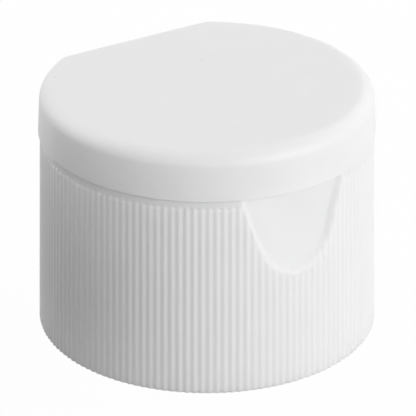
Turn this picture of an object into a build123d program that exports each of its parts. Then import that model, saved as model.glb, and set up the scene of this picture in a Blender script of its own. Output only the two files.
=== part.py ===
from build123d import *
import os
from math import acos, atan, cos, degrees, pi, radians, sin, sqrt, tan

# Flip top cap in one moulding: ribbed skirt with a threaded collar inside, D-shaped snap lid and living hinge.
# Millimetres. The origin is the centre of the bottom rim, +Z is up, the thumb recess faces -Y and the hinge +Y.

# Collar for the bottle neck, bored to the root of its thread; all radii are set out from it
THREAD_RADIUS = 12.25
COLLAR_WALL = 1.0
COLLAR_RISE = 0.8
COLLAR_LEAD_IN = 0.4

# Skirt round the collar, its wall measured at the seam
SEAM_HEIGHT = 19.2
HOLLOW_WIDTH = 0.86
SKIRT_WALL = 1.2
SKIRT_TAPER = 0.48

# Grip ribs: leaning bars side by side, their round backs made of flats, that end below a plain band
RIB_COUNT = 144
RIB_HEIGHT = 0.21
RIB_ROUND_SHARE = 0.616
RIB_SIDES = 12
PLAIN_BAND = 0.75
RIB_END_SLOPE = 50.0

# Deck that the lid closes over, and the pouring spout on it
DECK_THICKNESS = 1.5
DECK_STEP = 0.4
ORIFICE_RADIUS = 3.175
SPOUT_WALL = 1.6
SPOUT_HEIGHT = 1.6
SPOUT_LEAD_IN = 0.3

# Lid: a D-shaped shell over the deck, its flat towards the hinge
LID_HEIGHT = 4.52
SEAM_GAP = 0.08
LID_OVERHANG = 0.16
LID_FLAT_DEPTH = 2.23
LID_INNER_ROUND = 0.6
LID_DRAFT = 3.0
LID_WALL = 1.2
LID_TOP = 1.3
LID_TOP_ROUND = 1.15
LID_CLEARANCE = 0.45

# Plug under the lid: a hollow peg that closes the orifice
PLUG_CLEARANCE = 0.2
PLUG_WALL = 0.85
PLUG_ENGAGEMENT = 1.0
PLUG_LEAD_IN = 0.3

# Thumb recess: a tongue-shaped hollow below the seam, with sloped walls and a dished floor; the radius of its tip
# is a share of the skirt's
RECESS_LENGTH = 7.9
RECESS_TIP_SHARE = 0.3
RECESS_FLARE = 25.0
RECESS_WALL_SLOPE = 40.0
RECESS_TOP_DEPTH = 1.36
RECESS_TIP_DEPTH = 0.42
RECESS_DISH = 0.17
RECESS_RIM_ROUND = 0.3
RIB_SETBACK = 0.16

# Living hinge: a film that bows out from the flats of lid and skirt
HINGE_WIDTH = 11.0
HINGE_FILM = 0.35
HINGE_BOW = 0.68
HINGE_LEDGE_CLEARANCE = 0.4

# Radii and heights that follow from these
collar_radius = THREAD_RADIUS + COLLAR_WALL
inner_radius = collar_radius + HOLLOW_WIDTH
shoulder_radius = inner_radius + SKIRT_WALL
lid_radius = shoulder_radius + RIB_HEIGHT + LID_OVERHANG
lid_flat = lid_radius - LID_FLAT_DEPTH
reach = 2 * lid_radius
lid_base = SEAM_HEIGHT + SEAM_GAP
lid_ceiling = lid_base + LID_HEIGHT - LID_TOP
lid_corner = LID_TOP_ROUND + LID_HEIGHT * tan(radians(LID_DRAFT))
deck_top = SEAM_HEIGHT + DECK_STEP
deck_bottom = deck_top - DECK_THICKNESS
hollow_top = SEAM_HEIGHT - DECK_THICKNESS
spout_top = deck_top + SPOUT_HEIGHT
recess_tip = SEAM_HEIGHT - RECESS_LENGTH
tip_radius = RECESS_TIP_SHARE * shoulder_radius
hinge_height = SEAM_HEIGHT + SEAM_GAP / 2
hinge_ledge = SEAM_HEIGHT - LID_HEIGHT - HINGE_LEDGE_CLEARANCE
skirt_draft = degrees(atan(SKIRT_TAPER / SEAM_HEIGHT))

FRONT = Plane(origin=(0, 0, 0), x_dir=(1, 0, 0), z_dir=(0, -1, 0))


def core_radius(z):
    """Radius of the smooth skirt that the ribs stand on, at height z."""
    return shoulder_radius + SKIRT_TAPER * (1 - z / SEAM_HEIGHT)


def crest_radius(z):
    """Radius over the rib crests at height z."""
    return core_radius(z) + RIB_HEIGHT


def turned(*points):
    """Solid of revolution about Z of a closed outline of (radius, height) points."""
    return revolve(Plane.XZ * make_face(Polyline(*points, points[0])), Axis.Z)


def d_outline(inset, corner):
    """The lid's D-shaped outline, drawn in by an inset: a circle cut by a flat, with rounded corners."""
    front_of_flat = Pos(0, lid_flat - inset - reach) * Rectangle(2 * reach, 2 * reach)
    outline = Circle(lid_radius - inset) & front_of_flat
    return fillet(outline.vertices(), corner)


def behind(y, z):
    """Everything behind the plane at y and above the height z."""
    return Pos(0, y, z) * Box(2 * reach, reach, reach, align=(Align.CENTER, Align.MIN, Align.MIN))


def recess_outline(margin):
    """Tongue-shaped front view of the thumb recess, grown by a margin and open above the seam."""
    radius = tip_radius + margin
    centre = recess_tip + tip_radius
    flare = radians(RECESS_FLARE)
    touch_x = radius * cos(flare)
    touch_z = centre - radius * sin(flare)
    top_z = SEAM_HEIGHT + tip_radius
    top_x = touch_x + (top_z - touch_z) * tan(flare)
    sides = Polyline((touch_x, touch_z), (top_x, top_z), (-top_x, top_z), (-touch_x, touch_z))
    tip = ThreePointArc((-touch_x, touch_z), (0, centre - radius), (touch_x, touch_z))
    return make_face([sides, tip])


def recess_walls(margin):
    """Tongue with sloped walls, grown by a margin, that goes deeper than the recess's floor."""
    front = crest_radius(recess_tip)
    depth = front - crest_radius(SEAM_HEIGHT) + RECESS_TOP_DEPTH + RECESS_DISH
    face = FRONT.offset(front) * recess_outline(margin)
    return extrude(face, amount=-depth, taper=RECESS_WALL_SLOPE) + extrude(face, amount=reach)


def recess():
    """What the thumb recess takes away: the tongue down to the dished floor."""
    tip_y = RECESS_TIP_DEPTH - crest_radius(recess_tip)
    top_y = RECESS_TOP_DEPTH - crest_radius(SEAM_HEIGHT)
    mid_y = (top_y + tip_y) / 2 + RECESS_DISH
    mid_z = (SEAM_HEIGHT + recess_tip) / 2
    floor = ThreePointArc((tip_y, recess_tip), (mid_y, mid_z), (top_y, SEAM_HEIGHT))
    around = Polyline(floor @ 1, (-reach, SEAM_HEIGHT), (-reach, 0), (tip_y, 0), floor @ 0)
    before_floor = extrude(Plane.YZ * make_face([floor, around]), amount=reach, both=True)
    return recess_walls(0) & before_floor


def borders_recess(edge):
    """Whether an edge of the skirt's outer face climbs along the thumb recess."""
    box = edge.bounding_box()
    return box.max.Y < 0 and box.min.Z > 0 and box.size.Z > RECESS_RIM_ROUND


def skirt_core():
    """Smooth leaning skirt, solid to the axis, with the thumb recess, its rounded rim and the hinge flat."""
    core = turned((0, 0), (core_radius(0), 0), (shoulder_radius, SEAM_HEIGHT), (0, SEAM_HEIGHT))
    core -= recess()
    outer_face = core.faces().sort_by(lambda face: face.area)[-1]
    rim = [edge for edge in outer_face.edges() if borders_recess(edge)]
    return fillet(rim, RECESS_RIM_ROUND) - behind(lid_flat, hinge_ledge)


def rib():
    """One rib at azimuth 0: a leaning bar as wide as its pitch, level at the rim and bevelled at its top."""
    radius = RIB_ROUND_SHARE * 2 * pi * crest_radius(0) / RIB_COUNT
    lean = Plane((crest_radius(0) - radius, 0, 0)).rotated((0, -skirt_draft, 0))
    bar = extrude(lean * RegularPolygon(radius, RIB_SIDES), amount=SEAM_HEIGHT, both=True)
    bar = split(bar, Plane.XY, keep=Keep.TOP)
    top = SEAM_HEIGHT - PLAIN_BAND
    bevel = Plane((core_radius(top), 0, top)).rotated((0, 90 - RIB_END_SLOPE, 0))
    bar = split(bar, bevel, keep=Keep.BOTTOM)
    bar = split(bar, Plane.XZ.rotated((0, 0, 180 / RIB_COUNT)), keep=Keep.TOP)
    return split(bar, Plane.XZ.rotated((0, 0, -180 / RIB_COUNT)), keep=Keep.BOTTOM)


def ribs():
    """All ribs, those at the front stopped by the thumb recess and those at the back by the hinge ledge."""
    pitch = 360 / RIB_COUNT
    flat_half_angle = degrees(acos(lid_flat / core_radius(hinge_ledge))) + pitch
    stop = recess_walls(RIB_SETBACK)
    whole = rib()
    below_ledge = split(whole, Plane.XY.offset(hinge_ledge), keep=Keep.BOTTOM)
    bars = []
    for i in range(RIB_COUNT):
        at_back = abs(i * pitch - 90) < flat_half_angle
        bar = Rot(0, 0, i * pitch) * (below_ledge if at_back else whole)
        bars.extend((bar - stop).solids())
    return bars


def bore():
    """Inside of the collar and the foot space under it, up to the deck."""
    return turned(
        (0, 0), (inner_radius, 0), (inner_radius, COLLAR_RISE),
        (THREAD_RADIUS + COLLAR_LEAD_IN, COLLAR_RISE),
        (THREAD_RADIUS, COLLAR_RISE + COLLAR_LEAD_IN),
        (THREAD_RADIUS, deck_bottom), (0, deck_bottom),
    )


def hollow():
    """Space between the skirt and the collar, kept clear of the thumb recess and the hinge flat by a wall."""
    ring = turned(
        (collar_radius, COLLAR_RISE), (inner_radius, COLLAR_RISE),
        (inner_radius, hollow_top), (collar_radius, hollow_top),
    )
    recess_wall = extrude(FRONT * recess_outline(SKIRT_WALL), amount=reach)
    return ring - recess_wall - behind(lid_flat - SKIRT_WALL, hinge_ledge - SKIRT_WALL)


def deck():
    """Raised D-shaped deck that the lid closes over, with the spout on it."""
    plate = extrude(d_outline(LID_WALL + LID_CLEARANCE, LID_INNER_ROUND), amount=DECK_THICKNESS)
    spout = turned(
        (0, deck_bottom), (ORIFICE_RADIUS + SPOUT_WALL, deck_bottom),
        (ORIFICE_RADIUS + SPOUT_WALL, spout_top), (0, spout_top),
    )
    return Pos(0, 0, deck_bottom) * plate + spout


def orifice():
    """Pouring hole through deck and spout, with a lead-in for the plug."""
    return turned(
        (0, deck_bottom), (ORIFICE_RADIUS, deck_bottom), (ORIFICE_RADIUS, spout_top - SPOUT_LEAD_IN),
        (ORIFICE_RADIUS + SPOUT_LEAD_IN, spout_top), (0, spout_top),
    )


def cap_body():
    """Ribbed skirt, collar, deck and spout in one piece."""
    body = skirt_core() + deck() - bore() - hollow() - orifice()
    return body + ribs()


def is_level(edge):
    """Whether both ends of an edge lie at one height."""
    return abs((edge @ 0).Z - (edge @ 1).Z) < SEAM_GAP


def flip_lid():
    """D-shaped lid shell with drafted sides, a top edge rounded in three bevels and the plug under its top."""
    shell = extrude(d_outline(0, lid_corner), amount=LID_HEIGHT, taper=LID_DRAFT)
    shell = chamfer(shell.faces().sort_by(Axis.Z)[-1].edges(), LID_TOP_ROUND * (2 - sqrt(2)))
    upper = [edge for edge in shell.edges() if is_level(edge) and edge.center().Z > LID_HEIGHT / 2]
    shell = chamfer(upper, LID_TOP_ROUND * (tan(pi / 8) - tan(pi / 16)))
    shell -= extrude(d_outline(LID_WALL, LID_INNER_ROUND), amount=LID_HEIGHT - LID_TOP)
    radius = ORIFICE_RADIUS - PLUG_CLEARANCE
    tip = spout_top - PLUG_ENGAGEMENT
    plug = turned(
        (radius - PLUG_WALL, lid_ceiling), (radius, lid_ceiling), (radius, tip + PLUG_LEAD_IN),
        (radius - PLUG_LEAD_IN, tip), (radius - PLUG_WALL, tip),
    )
    return Pos(0, 0, lid_base) * shell + plug


def living_hinge(lid):
    """Half-round film from the skirt's flat to the lid's, trimmed to the lid's drafted face."""
    outer = HINGE_BOW + HINGE_FILM / 2
    inner = HINGE_BOW - HINGE_FILM / 2
    middle = Plane.YZ * Pos(lid_flat, hinge_height)
    behind_flat = Rectangle(outer, 2 * outer, align=(Align.MIN, Align.CENTER))
    bow = (Circle(outer) - Circle(inner)) & behind_flat
    root = Pos(0, HINGE_BOW) * Rectangle(2 * HINGE_FILM, HINGE_FILM)
    film = extrude(middle * (bow + root), amount=HINGE_WIDTH / 2, both=True)
    return film - lid


lid = flip_lid()
nodes = {"cap_body": cap_body(), "flip_lid": lid, "living_hinge": living_hinge(lid)}

os.makedirs("parts", exist_ok=True)
for name, shape in nodes.items():
    export_step(shape, f"parts/{name}.step")
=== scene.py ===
import logging
import math
from collections.abc import Iterable
from dataclasses import dataclass
from enum import Enum

import bpy
import numpy as np
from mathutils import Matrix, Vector


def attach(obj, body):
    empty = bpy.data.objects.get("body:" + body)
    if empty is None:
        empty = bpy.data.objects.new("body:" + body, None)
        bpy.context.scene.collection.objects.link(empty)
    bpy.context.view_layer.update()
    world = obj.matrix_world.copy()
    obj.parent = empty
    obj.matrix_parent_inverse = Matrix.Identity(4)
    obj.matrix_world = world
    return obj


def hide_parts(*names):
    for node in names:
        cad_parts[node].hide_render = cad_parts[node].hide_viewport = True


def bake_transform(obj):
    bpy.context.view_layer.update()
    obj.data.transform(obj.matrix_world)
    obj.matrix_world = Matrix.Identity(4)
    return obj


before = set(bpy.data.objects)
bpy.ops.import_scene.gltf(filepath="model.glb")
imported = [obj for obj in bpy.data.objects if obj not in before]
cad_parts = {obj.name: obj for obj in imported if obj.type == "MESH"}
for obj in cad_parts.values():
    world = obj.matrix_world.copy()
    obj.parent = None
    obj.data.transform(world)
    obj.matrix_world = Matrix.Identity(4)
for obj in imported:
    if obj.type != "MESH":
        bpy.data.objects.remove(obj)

LOG = logging.getLogger("flip_top_cap")
MM = 0.001
UPRIGHT = (math.pi / 2, 0, 0)

# Corners closer than these are merged, and places closer than TOUCH count as one.
MERGE = 0.001 * MM
FINE_MERGE = 0.0005 * MM
TOUCH = 0.01 * MM

# Edges sharper than the first angle are rounded, and those sharper than the second stay hard in the shading.
BEVEL_ANGLE = math.radians(40)
SMOOTH_ANGLE = math.radians(35)

# A ray from the axis faces a side where its cosine to that side is above FACING. FAR is a radius in
# millimetres beyond the whole cap.
FACING = 0.5
FAR = 100.0

# Roughness of the studio's floor and card.
MATTE = 0.9

Point = tuple[float, float, float]
Pairs = tuple[tuple[float, float], ...]


class Body(Enum):
    """The two bodies of the cap that move against each other."""

    CAP = "cap_body"
    LID = "flip_lid"


def deselect_all() -> None:
    """Leaves object mode with nothing selected."""
    if bpy.context.object is not None and bpy.context.object.mode != "OBJECT":
        bpy.ops.object.mode_set(mode="OBJECT")
    bpy.ops.object.select_all(action="DESELECT")


def activate(piece: bpy.types.Object) -> None:
    """Makes one object the only selected and the active one.

    Args:
        piece: The object that the next operators act on.
    """
    deselect_all()
    piece.select_set(True)
    bpy.context.view_layer.objects.active = piece


def apply_modifier(piece: bpy.types.Object, kind: str, **settings: object) -> None:
    """Adds one modifier to a piece and applies it.

    Args:
        piece: The object to change.
        kind: Blender's name of the modifier type.
        **settings: Values for the modifier's properties.
    """
    activate(piece)
    modifier = piece.modifiers.new(kind.title(), kind)
    for name, value in settings.items():
        setattr(modifier, name, value)
    bpy.ops.object.modifier_apply(modifier=modifier.name)


def finish_piece(piece: bpy.types.Object, material: bpy.types.Material) -> None:
    """Gives a piece its material.

    Args:
        piece: The finished object.
        material: The material it wears.
    """
    piece.data.materials.clear()
    piece.data.materials.append(material)


def sheet(name: str, width: float, depth: float, place: Point, turn: Point = (0, 0, 0)) -> bpy.types.Object:
    """Adds a flat sheet, with its size, turn and place applied to its mesh.

    Args:
        name: Name of the new object.
        width: Size along the sheet's own X.
        depth: Size along the sheet's own Y.
        place: Its middle.
        turn: Its turn about X, Y and Z.

    Returns:
        The sheet, at the origin.
    """
    deselect_all()
    bpy.ops.mesh.primitive_plane_add(size=1, location=place, rotation=turn)
    piece = bpy.context.object
    piece.name = name
    piece.scale = (width, depth, 1)
    bpy.ops.object.transform_apply(location=True, rotation=True, scale=True)
    return piece


def weld(distance: float) -> None:
    """Merges the corners of the mesh in edit mode that lie closer than a distance."""
    bpy.ops.mesh.select_all(action="SELECT")
    bpy.ops.mesh.remove_doubles(threshold=distance)


def fill_open_ends() -> None:
    """Closes each open loop of the mesh in edit mode."""
    bpy.ops.mesh.select_all(action="DESELECT")
    bpy.ops.mesh.select_non_manifold(use_wire=False, use_multi_face=False, use_non_contiguous=False)
    bpy.ops.mesh.fill_holes(sides=0)


def face_outwards() -> None:
    """Turns the faces of the mesh in edit mode outwards and goes back to object mode."""
    bpy.ops.mesh.select_all(action="SELECT")
    bpy.ops.mesh.normals_make_consistent(inside=False)
    bpy.ops.object.mode_set(mode="OBJECT")


def turned(name: str, outline: list[tuple[float, float]], steps: int) -> bpy.types.Object:
    """Turns a closed outline round the cap's axis.

    Args:
        name: Name of the new object.
        outline: Corners of the section as (radius, height) in millimetres.
        steps: Segments of the full turn.

    Returns:
        The turned solid, at the origin.
    """
    radius, height = outline[0]
    piece = sheet(name, MM, MM, (radius * MM, 0, height * MM))
    bpy.ops.object.mode_set(mode="EDIT")
    bpy.ops.mesh.select_mode(type="VERT")
    bpy.ops.mesh.select_all(action="SELECT")
    bpy.ops.mesh.merge(type="CENTER")
    for (r0, z0), (r1, z1) in zip(outline, outline[1:] + outline[:1]):
        step = ((r1 - r0) * MM, 0, (z1 - z0) * MM)
        bpy.ops.mesh.extrude_region_move(TRANSFORM_OT_translate={"value": step})
    bpy.ops.mesh.select_all(action="SELECT")
    bpy.ops.mesh.spin(steps=steps, angle=2 * math.pi, center=(0, 0, 0), axis=(0, 0, 1))
    weld(MERGE)
    face_outwards()
    return piece


def soften(piece: bpy.types.Object, width: float, segments: int = 2) -> None:
    """Rounds the sharp edges of a piece a little, as a mould leaves them, and shades the rest smooth.

    Args:
        piece: The object to change.
        width: Width of the rounding.
        segments: Steps of the rounding.
    """
    apply_modifier(
        piece,
        "BEVEL",
        width=width,
        segments=segments,
        limit_method="ANGLE",
        angle_limit=BEVEL_ANGLE,
    )
    bpy.ops.object.shade_smooth_by_angle(angle=SMOOTH_ANGLE)
    apply_modifier(piece, "WEIGHTED_NORMAL", mode="FACE_AREA", weight=50, keep_sharp=True)


def wrapped(name: str, rings: np.ndarray) -> bpy.types.Object:
    """Wraps a fine grid into a tube whose rows are the given rings, and closes it.

    Args:
        name: Name of the new object.
        rings: Points in millimetres, by ring and by place in the ring, each ring ending where it starts.

    Returns:
        The closed tube, at the origin.
    """
    deselect_all()
    rows, columns = rings.shape[0] - 1, rings.shape[1] - 1
    bpy.ops.mesh.primitive_grid_add(x_subdivisions=columns, y_subdivisions=rows, size=2)
    piece = bpy.context.object
    piece.name = name
    grid = np.empty(len(piece.data.vertices) * 3)
    piece.data.vertices.foreach_get("co", grid)
    place = grid.reshape(-1, 3)
    column = np.rint((place[:, 0] + 1) / 2 * columns).astype(int)
    row = np.rint((place[:, 1] + 1) / 2 * rows).astype(int)
    piece.data.vertices.foreach_set("co", (rings[row, column] * MM).ravel())
    piece.data.update()
    bpy.ops.object.mode_set(mode="EDIT")
    bpy.ops.mesh.select_mode(type="VERT")
    weld(FINE_MERGE)
    fill_open_ends()
    face_outwards()
    return piece


def smooth_max(a: np.ndarray, b: np.ndarray, width: float) -> np.ndarray:
    """Larger of two heights, with the crease between them rounded.

    Args:
        a: First heights.
        b: Second heights.
        width: Difference over which the two run into each other.

    Returns:
        The rounded maximum.
    """
    share = np.clip(0.5 + 0.5 * (a - b) / width, 0, 1)
    return b + (a - b) * share + width * share * (1 - share)


def smooth_min(a: np.ndarray, b: np.ndarray, width: float) -> np.ndarray:
    """Smaller of two heights, with the edge between them rounded; arguments as for smooth_max."""
    return -smooth_max(-a, -b, width)


def ramp(low: float, high: float, value: np.ndarray) -> np.ndarray:
    """Eased step from 0 at low to 1 at high."""
    share = np.clip((value - low) / (high - low), 0, 1)
    return share * share * (3 - 2 * share)


@dataclass(frozen=True)
class MouldedWhite:
    """White polypropylene as it leaves the mould: satin and translucent, with a fine spark-eroded grain."""

    name: str
    colour: Point = (0.86, 0.86, 0.86)
    refraction: float = 1.49

    # How deep light sinks in, and the shares of that in red, green and blue.
    translucency: float = 1.0
    depth: float = 0.8 * MM
    depth_by_colour: Point = (1.0, 0.98, 0.96)

    # Features to the metre and octaves of the clouds in the white, the haze on the satin and the grain.
    cloud: tuple[float, float] = (260.0, 3.0)
    haze: tuple[float, float] = (900.0, 4.0)
    grain: tuple[float, float] = (9000.0, 2.0)
    mottle: float = 0.02
    roughness: float = 0.42
    roughness_spread: float = 0.08
    grain_height: float = 0.004 * MM
    grain_strength: float = 0.35

    # Dust specks: cells to the metre, and the shares of a cell at which a speck starts and is full.
    speck_colour: Point = (0.62, 0.60, 0.57)
    speck_scale: float = 230.0
    speck_edge: float = 0.032
    speck_core: float = 0.012

    def material(self) -> bpy.types.Material:
        """Builds the material from Object coordinates.

        Returns:
            The new material.
        """
        material = bpy.data.materials.new(self.name)
        material.use_nodes = True
        tree = material.node_tree
        shader = tree.nodes["Principled BSDF"]
        shader.inputs["IOR"].default_value = self.refraction
        shader.inputs["Subsurface Weight"].default_value = self.translucency
        shader.inputs["Subsurface Radius"].default_value = self.depth_by_colour
        shader.inputs["Subsurface Scale"].default_value = self.depth
        place = tree.nodes.new("ShaderNodeTexCoord").outputs["Object"]
        tree.links.new(self._specked(tree, place), shader.inputs["Base Color"])
        tree.links.new(self._satin(tree, place), shader.inputs["Roughness"])
        tree.links.new(self._grained(tree, place), shader.inputs["Normal"])
        return material

    def _specked(self, tree: bpy.types.NodeTree, place: bpy.types.NodeSocket) -> bpy.types.NodeSocket:
        """Adds the clouded white with its few specks.

        Args:
            tree: The material's node tree.
            place: Socket with the coordinates.

        Returns:
            The socket with the colour.
        """
        base = tree.nodes.new("ShaderNodeMix")
        base.data_type = "RGBA"
        base.inputs["A"].default_value = (*[c * (1 - self.mottle) for c in self.colour], 1)
        base.inputs["B"].default_value = (*[c * (1 + self.mottle) for c in self.colour], 1)
        tree.links.new(self._noise(tree, place, *self.cloud), base.inputs["Factor"])

        cells = tree.nodes.new("ShaderNodeTexVoronoi")
        cells.inputs["Scale"].default_value = self.speck_scale
        tree.links.new(place, cells.inputs["Vector"])
        speck = tree.nodes.new("ShaderNodeMapRange")
        speck.inputs["From Min"].default_value = self.speck_edge
        speck.inputs["From Max"].default_value = self.speck_core
        tree.links.new(cells.outputs["Distance"], speck.inputs["Value"])

        specked = tree.nodes.new("ShaderNodeMix")
        specked.data_type = "RGBA"
        specked.inputs["B"].default_value = (*self.speck_colour, 1)
        tree.links.new(speck.outputs["Result"], specked.inputs["Factor"])
        tree.links.new(base.outputs["Result"], specked.inputs["A"])
        return specked.outputs["Result"]

    def _satin(self, tree: bpy.types.NodeTree, place: bpy.types.NodeSocket) -> bpy.types.NodeSocket:
        """Adds the uneven satin.

        Args:
            tree: The material's node tree.
            place: Socket with the coordinates.

        Returns:
            The socket with the roughness.
        """
        satin = tree.nodes.new("ShaderNodeMapRange")
        satin.inputs["To Min"].default_value = self.roughness - self.roughness_spread
        satin.inputs["To Max"].default_value = self.roughness + self.roughness_spread
        tree.links.new(self._noise(tree, place, *self.haze), satin.inputs["Value"])
        return satin.outputs["Result"]

    def _grained(self, tree: bpy.types.NodeTree, place: bpy.types.NodeSocket) -> bpy.types.NodeSocket:
        """Adds the fine grain.

        Args:
            tree: The material's node tree.
            place: Socket with the coordinates.

        Returns:
            The socket with the normal.
        """
        bump = tree.nodes.new("ShaderNodeBump")
        bump.inputs["Strength"].default_value = self.grain_strength
        bump.inputs["Distance"].default_value = self.grain_height
        tree.links.new(self._noise(tree, place, *self.grain), bump.inputs["Height"])
        return bump.outputs["Normal"]

    @staticmethod
    def _noise(
        tree: bpy.types.NodeTree, place: bpy.types.NodeSocket, scale: float, octaves: float
    ) -> bpy.types.NodeSocket:
        """Adds a noise texture.

        Args:
            tree: The material's node tree.
            place: Socket with the coordinates.
            scale: Features to the metre.
            octaves: Levels of detail.

        Returns:
            The socket with the noise value.
        """
        noise = tree.nodes.new("ShaderNodeTexNoise")
        noise.inputs["Scale"].default_value = scale
        noise.inputs["Detail"].default_value = octaves
        tree.links.new(place, noise.inputs["Vector"])
        return noise.outputs["Fac"]


@dataclass
class RibbedSkirt:
    """Outer skin of the cap: ribs, plain band, thumb recess and hinge flat. Sizes in millimetres."""

    # Height of the seam under the lid, the skirt's radius there, and how much wider it is at the rim.
    seam: float = 19.2
    shoulder: float = 15.31
    taper: float = 0.48

    # Ribs: how far they stand out, how deep their valleys are, where the first one sits as a share of
    # their pitch, and the height at which they end, with how much of it their ends take.
    ribs: int = 144
    rib_height: float = 0.21
    rib_depth: float = 0.105
    rib_phase: float = 0.375
    rib_top: float = 18.62
    rib_end: float = 0.38
    steps_per_rib: int = 8

    # Filling of the valleys. In the band under the seam: its level over the smooth skirt, and how far
    # below and above the ribs' top it starts and is full. Along the recess: its level, and how far from
    # the recess it is full and ends. Elsewhere it lies sunk. The last value is the softness of its edge.
    band_lift: float = 0.1
    band_below: float = 0.22
    band_above: float = 0.02
    rim_lift: float = 0.12
    rim_full: float = 0.62
    rim_ends: float = 2.4
    sunk: float = 0.1
    fill_round: float = 0.05

    # Thumb recess: outline and slope of its wall, radius of its floor at the seam and at the tip, dish of
    # the floor and how far it runs on below the tip, and the roundings of its rim and of the crease round
    # its floor. Its radius is found in a few passes.
    recess_length: float = 7.9
    recess_tip: float = 4.593
    recess_flare: float = math.radians(25)
    recess_slope: float = math.radians(40)
    top_floor: float = 14.16
    tip_floor: float = 15.3
    floor_dish: float = 0.17
    floor_overrun: float = 0.2
    rim_round: float = 0.58
    crease_round: float = 0.22
    least_cosine: float = 0.2
    passes: int = 8

    # Hinge side: distance of its flat from the axis, height of the ledge below the flat, and the rows next
    # to the ledge.
    flat: float = 13.45
    ledge: float = 14.28
    ledge_above: float = 0.001
    ledge_below: float = 0.03
    ledge_clear: float = 0.05

    # Inside of the wall, and the radius at which the skin meets the deck.
    inside: float = 14.11
    wall: float = 1.1
    foot: float = 0.1
    mouth: float = 11.5

    # Rows of the skin: those drawn in at the seam, by drop, and at the foot, by height; the heights of the
    # others outside and inside; and the radii of those under the deck, by height.
    seam_edge: Pairs = ((0.0, 0.12), (0.03, 0.04))
    fine_drop: float = 0.1
    fine_end: float = 10.9
    fine_rows: int = 54
    coarse_rows: tuple[float, ...] = (10.6, 9.0, 6.0, 3.0)
    foot_edge: Pairs = ((0.14, 0.0), (0.04, 0.03), (0.0, 0.12))
    inside_rows: tuple[float, ...] = (0.0, 9.0, 10.2, 13.0, 14.4, 17.7)
    roof_rows: Pairs = ((17.7, 12.6), (18.4, 11.6))
    hard_angle: float = math.radians(50)

    def build(self, material: bpy.types.Material) -> list[bpy.types.Object]:
        """Wraps a fine grid round the axis, presses the skirt's relief into it and sets it on the body.

        Args:
            material: The moulded plastic.

        Returns:
            The skin alone.
        """
        steps = self.ribs * self.steps_per_rib
        angle = np.arange(steps + 1) * 2 * math.pi / steps
        rings = [
            np.stack([radius * np.cos(angle), radius * np.sin(angle), np.full(angle.shape, height)], axis=1)
            for height, radius in self._rows(angle)
        ]
        skin = wrapped("ribbed_skirt", np.array(rings))
        bpy.ops.object.shade_smooth_by_angle(angle=self.hard_angle)
        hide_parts("cap_body")
        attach(skin, Body.CAP.value)
        finish_piece(skin, material)
        return [skin]

    def _rows(self, angle: np.ndarray) -> list[tuple[float, np.ndarray]]:
        """Rings of the skin, from the deck over the outside and up the inside to the deck again.

        Args:
            angle: Angles round the axis.

        Returns:
            For each ring its height and its radius at each angle.
        """
        fine = np.linspace(self.seam - self.fine_drop, self.fine_end, self.fine_rows)
        heights = [z for z in fine if z > self.ledge + self.ledge_clear]
        heights += [self.ledge + self.ledge_above, self.ledge - self.ledge_below]
        heights += [z for z in fine if z < self.ledge - self.ledge_clear]
        heights += self.coarse_rows
        edge = [(self.seam - drop, inward) for drop, inward in self.seam_edge]
        outside = [*edge, *((z, 0.0) for z in heights), *self.foot_edge]
        mouth = (self.seam, np.full(angle.shape, self.mouth))
        rows = [mouth]
        rows += [(z, self.outer(angle, z) - inward) for z, inward in outside]
        rows += [(z, self.inner(angle, z)) for z in self.inside_rows]
        rows += [(z, np.full(angle.shape, radius)) for z, radius in self.roof_rows]
        return [*rows, mouth]

    def inner(self, angle: np.ndarray, height: float) -> np.ndarray:
        """Radius of the skirt's inside, which gives way to the recess; arguments as for outer."""
        return np.minimum(self.inside, self.outer(angle, max(height, self.foot)) - self.wall)

    def outer(self, angle: np.ndarray, height: float) -> np.ndarray:
        """Radius of the skirt's outside.

        Args:
            angle: Angles round the axis, 0 along +X.
            height: Height above the rim.

        Returns:
            The radius at each angle.
        """
        height = min(height, self.seam)
        core = self.shoulder + self.taper * (1 - height / self.seam)
        recess = self._recess(angle + math.pi / 2, height)
        rib = core + self._rib(angle, height)
        level = np.full(angle.shape, height)
        band = ramp(self.rib_top - self.band_below, self.rib_top + self.band_above, level)
        rim = 1 - ramp(self.rim_full, self.rim_ends, recess - core)
        fill = np.maximum((self.sunk + self.band_lift) * band, (self.sunk + self.rim_lift) * rim)
        skirt = smooth_max(rib, core - self.sunk + fill, self.fill_round)
        skirt = smooth_min(skirt, recess, self.rim_round)
        if height > self.ledge:
            across = np.sin(angle)
            cut = np.minimum(skirt, self.flat / np.maximum(across, FACING))
            skirt = np.where(across > FACING, cut, skirt)
        return skirt

    def _rib(self, angle: np.ndarray, height: float) -> np.ndarray:
        """Height of the ribs over the smooth skirt, with rounded ends below the band.

        Args:
            angle: Angles round the axis.
            height: Height above the rim.

        Returns:
            The ribs' height, negative beyond their ends.
        """
        pitch = 2 * math.pi / self.ribs
        sag = self.rib_depth * (1 - np.cos(2 * math.pi * (angle / pitch - self.rib_phase))) / 2
        past = min(max((height - self.rib_top + self.rib_end) / self.rib_end, 0), 1)
        return self.rib_height - sag - self.rib_end * (1 - math.sqrt(1 - past**2))

    def _inset(self, x: np.ndarray, z: float) -> np.ndarray:
        """How far inside the tongue-shaped outline of the recess a point of its front view lies.

        Args:
            x: Distances to the side.
            z: Height above the rim.

        Returns:
            The distances to the outline, positive inside.
        """
        x = np.abs(x)
        up = z - (self.seam - self.recess_length + self.recess_tip)
        cos, sin = math.cos(self.recess_flare), math.sin(self.recess_flare)
        beside_flank = x * sin + up * cos > 0
        return self.recess_tip - np.where(beside_flank, x * cos - up * sin, np.hypot(x, up))

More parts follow.
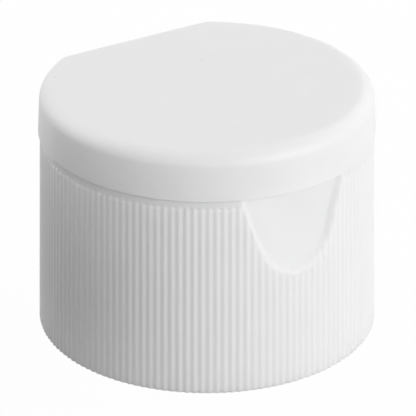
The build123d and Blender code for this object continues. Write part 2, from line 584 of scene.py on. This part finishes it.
    def _recess(self, front: np.ndarray, height: float) -> np.ndarray:
        """Radius at which a ray from the axis meets the floor or a wall of the thumb recess.

        Args:
            front: Angles from the middle of the recess.
            height: Height above the rim.

        Returns:
            The radius, large where there is no recess.
        """
        tip = self.seam - self.recess_length
        share = np.clip((height - tip) / self.recess_length, -self.floor_overrun, 1)
        dish = 4 * self.floor_dish * share * (1 - share)
        floor = self.tip_floor + (self.top_floor - self.tip_floor) * share - dish
        reach = self.shoulder + self.taper * (1 - tip / self.seam) + self.rib_height
        cosine = np.maximum(np.cos(front), self.least_cosine)
        radius = np.full(front.shape, reach)
        for _ in range(self.passes):
            wall = reach - self._inset(radius * np.sin(front), height) / math.tan(self.recess_slope)
            radius = smooth_max(np.full(front.shape, floor), wall, self.crease_round) / cosine
        return np.where(np.cos(front) > FACING, radius, FAR)


@dataclass
class NeckInsert:
    """Threaded collar, deck and pouring spout. Sizes in millimetres."""

    thread_root: float = 12.25
    collar: float = 13.25
    foot: float = 0.8
    lead_in: float = 0.4

    # Deck: its heights, its D, how far it reaches under its top and into the spout, and its rounded edge.
    deck_bottom: float = 18.1
    deck_top: float = 19.6
    deck_radius: float = 14.03
    deck_flat: float = 11.8
    deck_depth: float = 0.7
    deck_overlap: float = 0.5
    deck_edge: float = 0.15

    # Spout, and how far below the deck's top the piece meets it and the collar.
    orifice: float = 3.175
    spout: float = 4.775
    spout_top: float = 21.2
    mouth: float = 0.3
    spout_root: float = 0.4
    collar_root: float = 0.6
    edge: float = 0.12

    steps: int = 160
    cut_gap: float = 1e-7

    def build(self, material: bpy.types.Material) -> list[bpy.types.Object]:
        """Turns the collar with its spout, cuts the deck and winds the thread.

        Args:
            material: The moulded plastic.

        Returns:
            The three pieces.
        """
        pieces = [self._collar(), self._deck(), NeckThread().wind()]
        for piece in pieces:
            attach(piece, Body.CAP.value)
            finish_piece(piece, material)
        return pieces

    def _collar(self) -> bpy.types.Object:
        """Turns the collar, the underside of the deck and the spout in one outline.

        Returns:
            The turned piece.
        """
        outline = [
            (self.collar, self.foot),
            (self.thread_root + self.lead_in, self.foot),
            (self.thread_root, self.foot + self.lead_in),
            (self.thread_root, self.deck_bottom),
            (self.orifice, self.deck_bottom),
            (self.orifice, self.spout_top - self.mouth),
            (self.orifice + self.mouth, self.spout_top),
            (self.spout, self.spout_top),
            (self.spout, self.deck_top - self.spout_root),
            (self.collar, self.deck_top - self.collar_root),
        ]
        piece = turned("collar_and_spout", outline, self.steps)
        soften(piece, self.edge * MM)
        return piece

    def _deck(self) -> bpy.types.Object:
        """Turns the raised deck and cuts it off at the hinge side.

        Returns:
            The D-shaped deck.
        """
        inner = self.spout - self.deck_overlap
        low = self.deck_top - self.deck_depth
        outline = [
            (inner, low),
            (self.deck_radius, low),
            (self.deck_radius, self.deck_top),
            (inner, self.deck_top),
        ]
        piece = turned("deck", outline, self.steps)
        activate(piece)
        bpy.ops.object.mode_set(mode="EDIT")
        bpy.ops.mesh.select_all(action="SELECT")
        bpy.ops.mesh.bisect(
            plane_co=(0, self.deck_flat * MM, 0),
            plane_no=(0, 1, 0),
            use_fill=True,
            clear_outer=True,
            threshold=self.cut_gap,
        )
        bpy.ops.object.mode_set(mode="OBJECT")
        soften(piece, self.deck_edge * MM)
        return piece


@dataclass
class NeckThread:
    """Right-handed thread inside the collar."""

    root_radius: float = 12.27 * MM
    crest_radius: float = 11.15 * MM
    root_width: float = 2.0 * MM
    crest_width: float = 0.8 * MM
    pitch: float = 3.175 * MM
    turns: float = 1.75
    first_height: float = 5.2 * MM
    steps_per_turn: int = 120
    run_out: float = math.radians(40)
    hard_angle: float = math.radians(30)

    def wind(self) -> bpy.types.Object:
        """Winds the neck thread from one flat section and lets both ends run out into the wall.

        Returns:
            The thread, at the origin.
        """
        middle = (self.root_radius + self.crest_radius) / 2
        height = self.root_radius - self.crest_radius
        thread = sheet("neck_thread", height, height, (middle, 0, self.first_height), UPRIGHT)
        self._taper_section(thread)
        steps = round(self.turns * self.steps_per_turn)
        apply_modifier(
            thread,
            "SCREW",
            axis="Z",
            angle=self.turns * 2 * math.pi,
            screw_offset=self.turns * self.pitch,
            steps=steps,
            render_steps=steps,
            use_merge_vertices=False,
        )
        self._close_ends(thread)
        self._run_out(thread)
        activate(thread)
        bpy.ops.object.shade_smooth_by_angle(angle=self.hard_angle)
        return thread

    def _taper_section(self, thread: bpy.types.Object) -> None:
        """Widens the section at the wall and narrows it at the crest.

        Args:
            thread: The flat section.
        """
        height = self.root_radius - self.crest_radius
        for radius, width in ((self.root_radius, self.root_width), (self.crest_radius, self.crest_width)):
            for vertex in thread.data.vertices:
                vertex.select = abs(vertex.co.x - radius) < TOUCH
            for edge in thread.data.edges:
                edge.select = all(thread.data.vertices[i].select for i in edge.vertices)
            for face in thread.data.polygons:
                face.select = False
            bpy.ops.object.mode_set(mode="EDIT")
            bpy.ops.transform.resize(
                value=(1, 1, width / height), center_override=(radius, 0, self.first_height)
            )
            bpy.ops.object.mode_set(mode="OBJECT")

    @staticmethod
    def _close_ends(thread: bpy.types.Object) -> None:
        """Fills the two open ends and turns all faces outwards.

        Args:
            thread: The wound thread.
        """
        activate(thread)
        bpy.ops.object.mode_set(mode="EDIT")
        bpy.ops.mesh.select_mode(type="EDGE")
        fill_open_ends()
        weld(MERGE)
        face_outwards()

    def _run_out(self, thread: bpy.types.Object) -> None:
        """Sinks the crest into the wall over the first and last part of the winding.

        Args:
            thread: The wound thread.
        """
        total = self.turns * 2 * math.pi
        for vertex in thread.data.vertices:
            radius = math.hypot(vertex.co.x, vertex.co.y)
            wound = self._winding_angle(vertex.co)
            share = max(0.0, min(1.0, wound / self.run_out, (total - wound) / self.run_out))
            depth = (self.root_radius - radius) * math.sin(share * math.pi / 2)
            scale = (self.root_radius - depth) / radius
            vertex.co.x *= scale
            vertex.co.y *= scale

    def _winding_angle(self, point: Vector) -> float:
        """Angle along the winding at a point of the thread, from its lower end.

        Args:
            point: A point on the thread.

        Returns:
            The angle in radians.
        """
        base = math.atan2(point.y, point.x) % (2 * math.pi)
        risen = (point.z - self.first_height) / self.pitch * 2 * math.pi
        return base + 2 * math.pi * round((risen - base) / (2 * math.pi))


@dataclass
class HingedLid:
    """D-shaped lid with its plug. Sizes in millimetres."""

    # The D at the lid's rim, the rim's height, and the sides with their rounded edge at the top.
    radius: float = 15.68
    flat: float = 13.45
    corner: float = 1.55
    base: float = 19.28
    height: float = 4.52
    draft: float = math.radians(3)
    top_round: float = 1.35

    # Thickness of the side and the top, and how much the inside narrows.
    wall: float = 1.2
    top: float = 1.3
    inside_draft: float = 0.1

    # Fineness of the arc, the corners and the rounded edge, and the small rounding of the other edges.
    arc_steps: int = 240
    corner_steps: int = 13
    round_steps: int = 12
    edge: float = 0.12
    edge_steps: int = 3

    # Plug, and how far its root is sunk into the top.
    plug: float = 2.975
    plug_wall: float = 0.85
    plug_tip: float = 20.2
    plug_lead: float = 0.3
    plug_sunk: float = 0.3
    plug_steps: int = 96
    plug_edge: float = 0.1

    def build(self, material: bpy.types.Material) -> list[bpy.types.Object]:
        """Makes the lid's shell and plug and sets them on the lid.

        Args:
            material: The moulded plastic.

        Returns:
            The shell and the plug.
        """
        shell = self._shell()
        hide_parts("flip_lid")
        pieces = [shell, self._plug()]
        for piece in pieces:
            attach(piece, Body.LID.value)
            finish_piece(piece, material)
        return pieces

    def _shell(self) -> bpy.types.Object:
        """Leads rings from the top over the rounded edge, down the drafted side and up the inside.

        Returns:
            The lid's shell.
        """
        place, normal = self._outline()
        side = self.height - self.top_round
        lean = side * math.tan(self.draft)
        steps = np.linspace(math.pi / 2, 0, self.round_steps + 1)
        levels = list(zip(self.top_round * (1 - np.cos(steps)) + lean, side + self.top_round * np.sin(steps)))
        levels += [(lean / 2, side / 2), (0.0, 0.0), (self.wall, 0.0)]
        levels += [(self.wall + self.inside_draft, self.height - self.top)]
        rings = []
        for inset, rise in levels:
            flat_ring = place - inset * normal
            rings.append(np.column_stack([flat_ring, np.full(len(flat_ring), self.base + rise)]))
        shell = wrapped("lid_shell", np.array(rings))
        soften(shell, self.edge * MM, self.edge_steps)
        return shell

    def _outline(self) -> tuple[np.ndarray, np.ndarray]:
        """Walks once round the D at the lid's rim: its arc and its two corners.

        Returns:
            The points of the outline and its outward normals.
        """
        centre_y = self.flat - self.corner
        centre_x = math.sqrt((self.radius - self.corner) ** 2 - centre_y**2)
        turn = math.atan2(centre_y, centre_x)
        bends = [
            ((0.0, 0.0), self.radius, np.linspace(math.pi - turn, 2 * math.pi + turn, self.arc_steps)),
            ((centre_x, centre_y), self.corner, np.linspace(turn, math.pi / 2, self.corner_steps)[1:]),
            ((-centre_x, centre_y), self.corner, np.linspace(math.pi / 2, math.pi - turn, self.corner_steps)),
        ]
        normals = [np.column_stack([np.cos(angle), np.sin(angle)]) for _, _, angle in bends]
        places = [np.array(middle) + size * out for (middle, size, _), out in zip(bends, normals)]
        return np.concatenate(places), np.concatenate(normals)

    def _plug(self) -> bpy.types.Object:
        """Turns the hollow peg that closes the orifice.

        Returns:
            The plug.
        """
        root = self.base + self.height - self.top + self.plug_sunk
        bore = self.plug - self.plug_wall
        outline = [
            (bore, root),
            (bore, self.plug_tip),
            (self.plug - self.plug_lead, self.plug_tip),
            (self.plug, self.plug_tip + self.plug_lead),
            (self.plug, root),
        ]
        piece = turned("lid_plug", outline, self.plug_steps)
        soften(piece, self.plug_edge * MM)
        return piece


@dataclass
class FilmHinge:
    """Thin bowed film that bends between the body and the lid. Sizes in millimetres."""

    width: float = 11.0
    film: float = 0.35
    bow: float = 0.68
    flat: float = 13.45
    height: float = 19.24
    root: float = 0.15
    steps: int = 28
    edge: float = 0.06

    def build(self, material: bpy.types.Material) -> list[bpy.types.Object]:
        """Draws the film's section and leads it round its bow.

        Args:
            material: The moulded plastic.

        Returns:
            The film alone.
        """
        foot = (0, (self.flat - self.root) * MM, (self.height - self.bow) * MM)
        film = sheet("hinge_film", self.width * MM, self.film * MM, foot, UPRIGHT)
        bpy.ops.object.mode_set(mode="EDIT")
        bpy.ops.mesh.select_mode(type="FACE")
        bpy.ops.mesh.select_all(action="SELECT")
        bpy.ops.mesh.extrude_region_move(TRANSFORM_OT_translate={"value": (0, self.root * MM, 0)})
        bpy.ops.mesh.spin(
            steps=self.steps,
            angle=math.pi,
            center=(0, self.flat * MM, self.height * MM),
            axis=(-1, 0, 0),
        )
        bpy.ops.mesh.extrude_region_move(TRANSFORM_OT_translate={"value": (0, -self.root * MM, 0)})
        weld(MERGE)
        face_outwards()
        soften(film, self.edge * MM)
        finish_piece(film, material)
        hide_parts("living_hinge")
        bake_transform(film)
        return [film]


def outward(azimuth_deg: float, elevation_deg: float) -> Vector:
    """Direction from the cap towards a viewer or lamp.

    Args:
        azimuth_deg: 0 is in front of the thumb recess, positive to its right.
        elevation_deg: Angle above the floor.

    Returns:
        The unit vector.
    """
    azimuth, elevation = math.radians(azimuth_deg), math.radians(elevation_deg)
    return Vector(
        (
            math.sin(azimuth) * math.cos(elevation),
            -math.cos(azimuth) * math.cos(elevation),
            math.sin(elevation),
        )
    )


def hang(data: bpy.types.ID, aim: Vector, direction: Vector, distance: float) -> bpy.types.Object:
    """Hangs a lamp or camera so that it looks at a point.

    Args:
        data: The lamp or camera, which gives the object its name.
        aim: The point it looks at.
        direction: Where it hangs, as seen from that point.
        distance: How far away.

    Returns:
        The new object.
    """
    holder = bpy.data.objects.new(data.name, data)
    holder.location = aim + direction * distance
    holder.rotation_euler = (-direction).to_track_quat("-Z", "Y").to_euler()
    bpy.context.scene.collection.objects.link(holder)
    return holder


@dataclass(frozen=True)
class SoftBox:
    """One large soft lamp aimed at the cap."""

    name: str
    azimuth_deg: float
    elevation_deg: float
    power: float
    size: float = 0.5
    distance: float = 0.6

    def place(self, aim: Vector) -> None:
        """Adds the lamp.

        Args:
            aim: The point it shines at.
        """
        lamp = bpy.data.lights.new(self.name, "AREA")
        lamp.shape = "SQUARE"
        lamp.size = self.size
        lamp.energy = self.power
        hang(lamp, aim, outward(self.azimuth_deg, self.elevation_deg), self.distance)


def matte(name: str, shade: float) -> bpy.types.Material:
    """Makes a plain matte grey.

    Args:
        name: Name of the material.
        shade: Its brightness.

    Returns:
        The new material.
    """
    material = bpy.data.materials.new(name)
    material.use_nodes = True
    shader = material.node_tree.nodes["Principled BSDF"]
    shader.inputs["Base Color"].default_value = (shade, shade, shade, 1)
    shader.inputs["Roughness"].default_value = MATTE
    return material


@dataclass
class Studio:
    """White floor and surround, soft lamps, a dark card and the camera at the photograph's angle."""

    # Camera.
    azimuth_deg: float = -32.4
    elevation_deg: float = 26.56
    distance: float = 0.288
    aim: Point = (0.0, 0.0, 10.92 * MM)
    lens: float = 264.9
    sensor: float = 36.0
    shift_x: float = 1 / 416
    clip: tuple[float, float] = (0.01, 10.0)

    # Surround, and the floor with the share of white that it shows to the camera.
    ambient: float = 0.619
    floor_size: float = 4.0
    floor_drop: float = 0.02 * MM
    floor_shade: float = 0.88
    floor_gloss: float = 0.1
    floor_lift: float = 0.97

    # Dark card at the cap's left.
    card_side_deg: float = -61
    card_distance: float = 33 * MM
    card_width: float = 64 * MM
    card_height: float = 20 * MM
    card_shade: float = 0.03

    lamps: tuple[SoftBox, ...] = (
        SoftBox("key_softbox", 18, 9, 1.92),
        SoftBox("left_softbox", -150, 35, 0.88),
        SoftBox("right_softbox", 110, 30, 0.62),
    )

    def build(self) -> None:
        """Sets up camera, lamps, world, floor and card."""
        bpy.context.scene.view_settings.view_transform = "Standard"
        self._camera()
        for lamp in self.lamps:
            lamp.place(Vector(self.aim))
        self._world()
        self._floor()
        self._card()

    def _camera(self) -> None:
        """Adds the camera and makes it the scene's."""
        lens = bpy.data.cameras.new("camera")
        lens.lens = self.lens
        lens.sensor_width = self.sensor
        lens.shift_x = self.shift_x
        lens.clip_start, lens.clip_end = self.clip
        direction = outward(self.azimuth_deg, self.elevation_deg)
        bpy.context.scene.camera = hang(lens, Vector(self.aim), direction, self.distance)

    @staticmethod
    def _seen_directly(tree: bpy.types.NodeTree) -> bpy.types.NodeSocket:
        """Adds nodes that tell a ray which sees the background from one that lights the cap.

        Args:
            tree: The node tree of a material or world.

        Returns:
            A socket that is 1 for camera, glossy and transmission rays.
        """
        path = tree.nodes.new("ShaderNodeLightPath")
        total = path.outputs["Is Camera Ray"]
        for kind in ("Is Glossy Ray", "Is Transmission Ray"):
            either = tree.nodes.new("ShaderNodeMath")
            either.operation = "MAXIMUM"
            tree.links.new(total, either.inputs[0])
            tree.links.new(path.outputs[kind], either.inputs[1])
            total = either.outputs[0]
        return total

    @staticmethod
    def _mixed(
        tree: bpy.types.NodeTree, share: bpy.types.NodeSocket, low: bpy.types.Node, high: bpy.types.Node
    ) -> bpy.types.Node:
        """Adds a mix of two shaders.

        Args:
            tree: The node tree of a material or world.
            share: Socket with the second shader's share.
            low: The first shader.
            high: The second shader.

        Returns:
            The mixing node.
        """
        mix = tree.nodes.new("ShaderNodeMixShader")
        tree.links.new(share, mix.inputs["Fac"])
        tree.links.new(low.outputs[0], mix.inputs[1])
        tree.links.new(high.outputs[0], mix.inputs[2])
        return mix

    def _world(self) -> None:
        """Lights the cap with a plain grey surround that looks white itself."""
        world = bpy.data.worlds.new("surround")
        world.use_nodes = True
        bpy.context.scene.world = world
        tree = world.node_tree
        surround = tree.nodes["Background"]
        surround.inputs["Color"].default_value = (1, 1, 1, 1)
        surround.inputs["Strength"].default_value = self.ambient
        white = tree.nodes.new("ShaderNodeBackground")
        white.inputs["Color"].default_value = (1, 1, 1, 1)
        mix = self._mixed(tree, self._seen_directly(tree), surround, white)
        tree.links.new(mix.outputs[0], tree.nodes["World Output"].inputs["Surface"])

    def _floor(self) -> None:
        """Lays a white floor that keeps a pale shadow and is clear from below."""
        floor = sheet("floor", self.floor_size, self.floor_size, (0, 0, -self.floor_drop))
        material = matte("white_floor", self.floor_shade)
        tree = material.node_tree
        shader = tree.nodes["Principled BSDF"]
        shader.inputs["Specular IOR Level"].default_value = self.floor_gloss
        glow = tree.nodes.new("ShaderNodeEmission")
        share = tree.nodes.new("ShaderNodeMath")
        share.operation = "MULTIPLY"
        share.inputs[1].default_value = self.floor_lift
        tree.links.new(self._seen_directly(tree), share.inputs[0])
        lifted = self._mixed(tree, share.outputs[0], shader, glow)
        below = tree.nodes.new("ShaderNodeNewGeometry").outputs["Backfacing"]
        mix = self._mixed(tree, below, lifted, tree.nodes.new("ShaderNodeBsdfTransparent"))
        tree.links.new(mix.outputs[0], tree.nodes["Material Output"].inputs["Surface"])
        floor.data.materials.append(material)

    def _card(self) -> None:
        """Stands a dark card beside the cap, out of the picture, that gives the white edge its shade."""
        azimuth = self.azimuth_deg + self.card_side_deg
        place = outward(azimuth, 0) * self.card_distance
        card = sheet(
            "shade_card",
            self.card_width,
            self.card_height,
            (place.x, place.y, self.card_height / 2),
            (math.pi / 2, 0, math.radians(azimuth)),
        )
        card.visible_camera = False
        card.data.materials.append(matte("dark_card", self.card_shade))


def main() -> None:
    """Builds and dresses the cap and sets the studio."""
    logging.basicConfig(level=logging.INFO, format="%(message)s")
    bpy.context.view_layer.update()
    white = MouldedWhite("moulded_white").material()
    for assembly in (RibbedSkirt(), NeckInsert(), HingedLid(), FilmHinge()):
        for piece in assembly.build(white):
            LOG.info("%s: %d faces", piece.name, len(piece.data.polygons))
    Studio().build()


if __name__ == "__main__":
    main()
